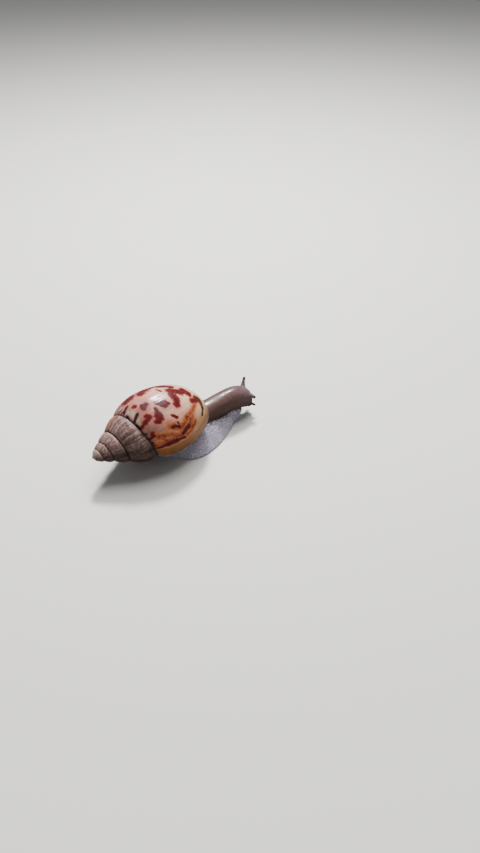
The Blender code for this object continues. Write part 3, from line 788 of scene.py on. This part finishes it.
def makeSkin(shading):
    bm = bmesh.new()
    wrappedGrid(bm, bodyMesh["footRows"], sum(bodyMesh["footAround"]), footPoint)
    wrappedGrid(bm, bodyMesh["neckRows"], bodyMesh["neckAround"], neckPoint)
    for feelers, end in (("upperFeelers", bodyShape["eyeSeat"]), ("lowerFeelers", 1.0)):
        for rows in bodyShape[feelers]:
            addFeeler(bm, rows, end)
    centre, radii = bodyShape["mouth"]
    across, down = bodyMesh["mouthFaces"]
    lips = bmesh.ops.create_uvsphere(bm, u_segments=across, v_segments=down, radius=1)["verts"]
    bmesh.ops.scale(bm, verts=lips, vec=radii)
    bmesh.ops.translate(bm, verts=lips, vec=centre)
    piece = newObject("snail_skin", bm, shading)
    # one closed skin over all of it, with soft joins
    joined = piece.modifiers.new("one skin", "REMESH")
    joined.mode, joined.voxel_size = "VOXEL", bodyMesh["voxel"] * mm
    soft = piece.modifiers.new("soft joins", "SMOOTH")
    soft.factor, soft.iterations = bodyMesh["smoothing"]
    whole = bpy.data.meshes.new_from_object(piece.evaluated_get(bpy.context.evaluated_depsgraph_get()))
    piece.modifiers.clear()
    piece.data = whole
    whole.materials.clear()
    whole.materials.append(shading)
    bm = bmesh.new()
    bm.from_mesh(whole)
    bm.normal_update()
    tops, flanks = bm.verts.layers.float.new("wart"), bm.verts.layers.float.new("away")
    for vert in bm.verts:
        height, vert[tops], vert[flanks] = skinRelief(vert.co / mm + origin, vert.normal)
        vert.co += vert.normal * height * mm
    bm.to_mesh(whole)
    bm.free()
    whole.shade_smooth()
    return piece


def footColour(tree, place, wartTop, away):
    # pale warts over greyer creases, which are darkest by the neck
    cloud = addNode(tree, "TexNoise", {"Vector": place, "Scale": 0.4, "Detail": 3.0})
    footTop = addNode(tree, "Mix", {0: cloud, 6: hexColour("#BBB5C7"), 7: hexColour("#D6D2E2")},
                      data_type="RGBA")
    onTop = addNode(tree, "MapRange", {"Value": wartTop, "From Min": 0.15, "From Max": 0.95})
    foot = addNode(tree, "Mix", {0: onTop, 6: hexColour("#8F8897"), 7: footTop}, data_type="RGBA")
    shadow = addNode(tree, "MapRange", {"Value": away, "From Min": 0.15, "From Max": 0.95,
                                        "To Min": 0.75, "To Max": 0.0})
    between = addNode(tree, "Mix", {0: onTop, 6: hexColour("#484046"), 7: hexColour("#BDB6C6")},
                      data_type="RGBA")
    return addNode(tree, "Mix", {0: shadow, 6: foot, 7: between}, data_type="RGBA")


def neckColour(tree, place, split, wartTop):
    # mauve brown, darker below in painted shade, rusty on the cheeks and grey on the upper feelers
    # painted shade: the neck and the head run from dark low down to paler on top
    height = addNode(tree, "MapRange", {"Value": split.outputs[2], "From Min": 4.5, "From Max": 11.0})
    neck = addNode(tree, "Mix", {0: height, 6: hexColour("#3A261F"), 7: hexColour("#604640")},
                   data_type="RGBA")
    rusty = addNode(tree, "Mix", {0: height, 6: hexColour("#3E2218"), 7: hexColour("#6E5A5F")},
                    data_type="RGBA")
    ahead = addNode(tree, "MapRange", {"Value": split.outputs[0], "From Min": 20.0, "From Max": 27.0})
    neck = addNode(tree, "Mix", {0: ahead, 6: neck, 7: rusty}, data_type="RGBA")
    inGroove = addNode(tree, "MapRange", {"Value": wartTop, "From Min": 0.0, "From Max": 0.8,
                                          "To Min": 0.4, "To Max": 0.0})
    neck = addNode(tree, "Mix", {0: inGroove, 6: neck, 7: hexColour("#38241F")}, data_type="RGBA")
    slanted = addNode(tree, "VectorMath", {0: place, 1: (2, 0, 1)}, operation="DOT_PRODUCT")
    feelers = addNode(tree, "MapRange", {"Value": slanted.outputs[1], "From Min": 63.0,
                                         "From Max": 64.5, "To Max": 0.8})
    return addNode(tree, "Mix", {0: feelers, 6: neck, 7: hexColour("#665656")}, data_type="RGBA")


def skinMaterial():
    # wet living skin: soft, a little translucent, glossy where it is wettest
    made, tree, shader, place = newMaterial("wet snail skin", Roughness=0.45,
                                            Coat_Roughness=0.22, Coat_IOR=1.38, Subsurface_Weight=0.2,
                                            Subsurface_Scale=0.0005)
    shader.inputs["Subsurface Radius"].default_value = (1.0, 0.55, 0.4)
    wartTop, away = (addNode(tree, "Attribute", attribute_name=name) for name in ("wart", "away"))
    split = addNode(tree, "SeparateXYZ", {0: place})
    flank = addNode(tree, "MapRange", {"Value": away, "From Max": 0.17})
    colour = addNode(tree, "Mix", {0: flank, 6: neckColour(tree, place, split, wartTop),
                                   7: footColour(tree, place, wartTop, away)}, data_type="RGBA")
    # fine grain, drawn out along the body
    drawn = addNode(tree, "VectorMath", {0: place, 1: (0.25, 1, 1)}, operation="MULTIPLY")
    grain = addNode(tree, "TexNoise", {"Vector": drawn, "Scale": 4.5, "Detail": 3.0, "Roughness": 0.6})
    tint = addNode(tree, "MapRange", {"Value": grain, "From Min": 0.25, "From Max": 0.75,
                                      "To Min": 0.86, "To Max": 1.1})
    tinted = addNode(tree, "VectorMath", {0: colour, "Scale": tint}, operation="SCALE")
    tree.links.new(tinted.outputs[0], shader.inputs["Base Color"])
    bump = addNode(tree, "Bump", {"Strength": 0.5, "Distance": 0.00006, "Height": grain})
    tree.links.new(bump.outputs[0], shader.inputs["Normal"])
    # wet gloss on the back and on the foot, less on the head and on the neck's underside
    drier = addNode(tree, "MapRange", {"Value": split.outputs[0], "From Min": 16.0, "From Max": 24.0,
                                       "To Min": 1.0, "To Max": 0.4})
    for label, least, most in (("Specular IOR Level", 0.08, 0.5), ("Coat Weight", 0.0, 1.0)):
        gloss = addNode(tree, "MapRange", {"Value": split.outputs[2], "From Min": 6.0, "From Max": 11.5,
                                           "To Min": least, "To Max": most})
        gloss = addNode(tree, "Math", {0: gloss, 1: drier}, operation="MULTIPLY")
        gloss = addNode(tree, "Mix", {0: flank, 2: gloss, 3: most * 0.5})
        tree.links.new(gloss.outputs[0], shader.inputs[label])
    return made


skinPiece = makeSkin(skinMaterial())
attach(skinPiece, "root")
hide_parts("tail", "foot_middle", "foot_front", "neck", "head", "mouth",
            "upper_feeler_left", "upper_feeler_right", "lower_feeler_left", "lower_feeler_right")
print("skin", len(skinPiece.data.polygons), flush=True)


collarShape = {
    "radius": 0.95,
    "inset": 1.7,      # from the lip in towards the aperture's middle
    "drop": 4,         # degrees that it lies ahead of the lip, round the axis
    "around": 24,
    "swell": (0.8, 1.0),
}


def makeCollar(shading):
    across = sum(shellMesh["across"])
    lip = shellShape["lipAt"]
    middle = (profilePoint(lip, 0).y + profilePoint(lip, across).y) / 2
    path = []
    for k in range(3, across - 4, 2):
        point = profilePoint(lip + leanAt(k), k)
        inwards = (Vector((0, middle)) - point).normalized() * collarShape["inset"]
        path.append(coilPoint(lip + leanAt(k), point + inwards, collarShape["drop"]))
    last = len(path) - 1

    def place(i, n):
        along = (path[min(i + 1, last)] - path[max(i - 1, 0)]).normalized()
        side = along.cross(Vector((0.2, 0.1, 1))).normalized()
        angle = math.tau * n / collarShape["around"]
        uneven = noise.noise(Vector((i * 0.4, math.cos(angle) * 1.5, math.sin(angle) * 1.5)))
        swell = mixed(*collarShape["swell"], 0.5 + 0.5 * uneven)
        out = side * math.cos(angle) + side.cross(along) * math.sin(angle)
        return path[i] + out * collarShape["radius"] * swell

    bm = bmesh.new()
    wrappedGrid(bm, last, collarShape["around"], place)
    return newObject("mantle_edge", bm, shading)


def mantleMaterial():
    # wet mantle edge, speckled and paler than the foot
    made, tree, shader, place = newMaterial("wet mantle", Roughness=0.4, Coat_Weight=0.6,
                                            Coat_Roughness=0.15, Subsurface_Weight=0.2,
                                            Subsurface_Scale=0.0006)
    speckle = addNode(tree, "TexNoise", {"Vector": place, "Scale": 2.2, "Detail": 3.0, "Roughness": 0.6})
    share = addNode(tree, "MapRange", {"Value": speckle, "From Min": 0.4, "From Max": 0.62})
    colour = addNode(tree, "Mix", {0: share, 6: hexColour("#5E4C45"), 7: hexColour("#93837A")},
                     data_type="RGBA")
    tree.links.new(colour.outputs[2], shader.inputs["Base Color"])
    return made


def eyeMaterial():
    # dark eye in a brown, wet feeler tip
    made, tree, shader, place = newMaterial("wet snail eye", Roughness=0.2, Coat_Weight=1.0,
                                            Coat_Roughness=0.05)
    cloud = addNode(tree, "TexNoise", {"Vector": place, "Scale": 1.8, "Detail": 2.0})
    share = addNode(tree, "MapRange", {"Value": cloud, "From Min": 0.35, "From Max": 0.65})
    colour = addNode(tree, "Mix", {0: share, 6: hexColour("#2A1712"), 7: hexColour("#5A3426")},
                     data_type="RGBA")
    tree.links.new(colour.outputs[2], shader.inputs["Base Color"])
    return made


eyeShape = {"radius": 0.54, "faces": (40, 24)}


def makeEye(name, tip, shading):
    bm = bmesh.new()
    across, down = eyeShape["faces"]
    bmesh.ops.create_uvsphere(bm, u_segments=across, v_segments=down, radius=eyeShape["radius"])
    bmesh.ops.translate(bm, verts=bm.verts, vec=tip[:3])
    return newObject(name, bm, shading)


collarPiece = makeCollar(mantleMaterial())
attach(collarPiece, "root")
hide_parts("mantle_collar")
eyeShading = eyeMaterial()
for side, rows in zip(("left", "right"), bodyShape["upperFeelers"]):
    eyePiece = makeEye("eye_ball_" + side, rows[-1], eyeShading)
    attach(eyePiece, "root")
    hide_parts("eye_" + side)
print("collar and eyes", flush=True)


studio = {
    "floor": "#DAD8D3",
    "floorSize": 6.0,
    "sky": 0.26,
    # a window behind on the right, which glints on the top of the shell, and a broad soft light
    # from above that only fills
    "window": {"at": (0.14, 0.21, 0.4), "size": 0.08, "watts": 4.0, "glints": True},
    "overhead": {"at": (0.16, 0.12, 0.58), "size": 0.45, "watts": 4.6, "glints": False},
    "lightsAimAt": (0, 0, 0.01),
    "lens": 26.38,
    "sensor": 36,
    "nearest": 0.005,
    "cameraAt": (-0.06528, -0.13761, 0.14352),
    "azimuth": -33,
    "elevation": 42,
}


def makeFloor():
    made, _, shader, _ = newMaterial("matt studio floor", Roughness=0.75)
    shader.inputs["Base Color"].default_value = hexColour(studio["floor"])
    bm = bmesh.new()
    bmesh.ops.create_grid(bm, x_segments=2, y_segments=2, size=studio["floorSize"] / 2)
    mesh = bpy.data.meshes.new("studio_floor")
    bm.to_mesh(mesh)
    bm.free()
    mesh.materials.append(made)
    floor = bpy.data.objects.new("studio_floor", mesh)
    bpy.context.scene.collection.objects.link(floor)
    floor.visible_glossy = False  # a pale floor's reflection would veil the shell's rim


def makeLight(name, at, size, watts, glints):
    lamp = bpy.data.lights.new(name, "AREA")
    lamp.shape, lamp.size, lamp.energy = "DISK", size, watts
    made = bpy.data.objects.new(name, lamp)
    made.location = at
    facing = Vector(studio["lightsAimAt"]) - Vector(at)
    made.rotation_euler = facing.to_track_quat("-Z", "Y").to_euler()
    made.visible_glossy = glints
    bpy.context.scene.collection.objects.link(made)


makeFloor()
for name in ("window", "overhead"):
    makeLight(name + "_light", **studio[name])
world = bpy.data.worlds.new("pale studio")
bpy.context.scene.world = world
world.use_nodes = True
backdrop = world.node_tree.nodes["Background"]
backdrop.inputs["Color"].default_value = hexColour("#E9ECF0")
backdrop.inputs["Strength"].default_value = studio["sky"]

lens = bpy.data.cameras.new("camera")
lens.lens, lens.sensor_width, lens.clip_start = studio["lens"], studio["sensor"], studio["nearest"]
camera = bpy.data.objects.new("camera", lens)
camera.location = studio["cameraAt"]
camera.rotation_euler = (math.radians(90 - studio["elevation"]), 0, math.radians(studio["azimuth"]))
bpy.context.scene.collection.objects.link(camera)
bpy.context.scene.camera = camera
print("studio", flush=True)
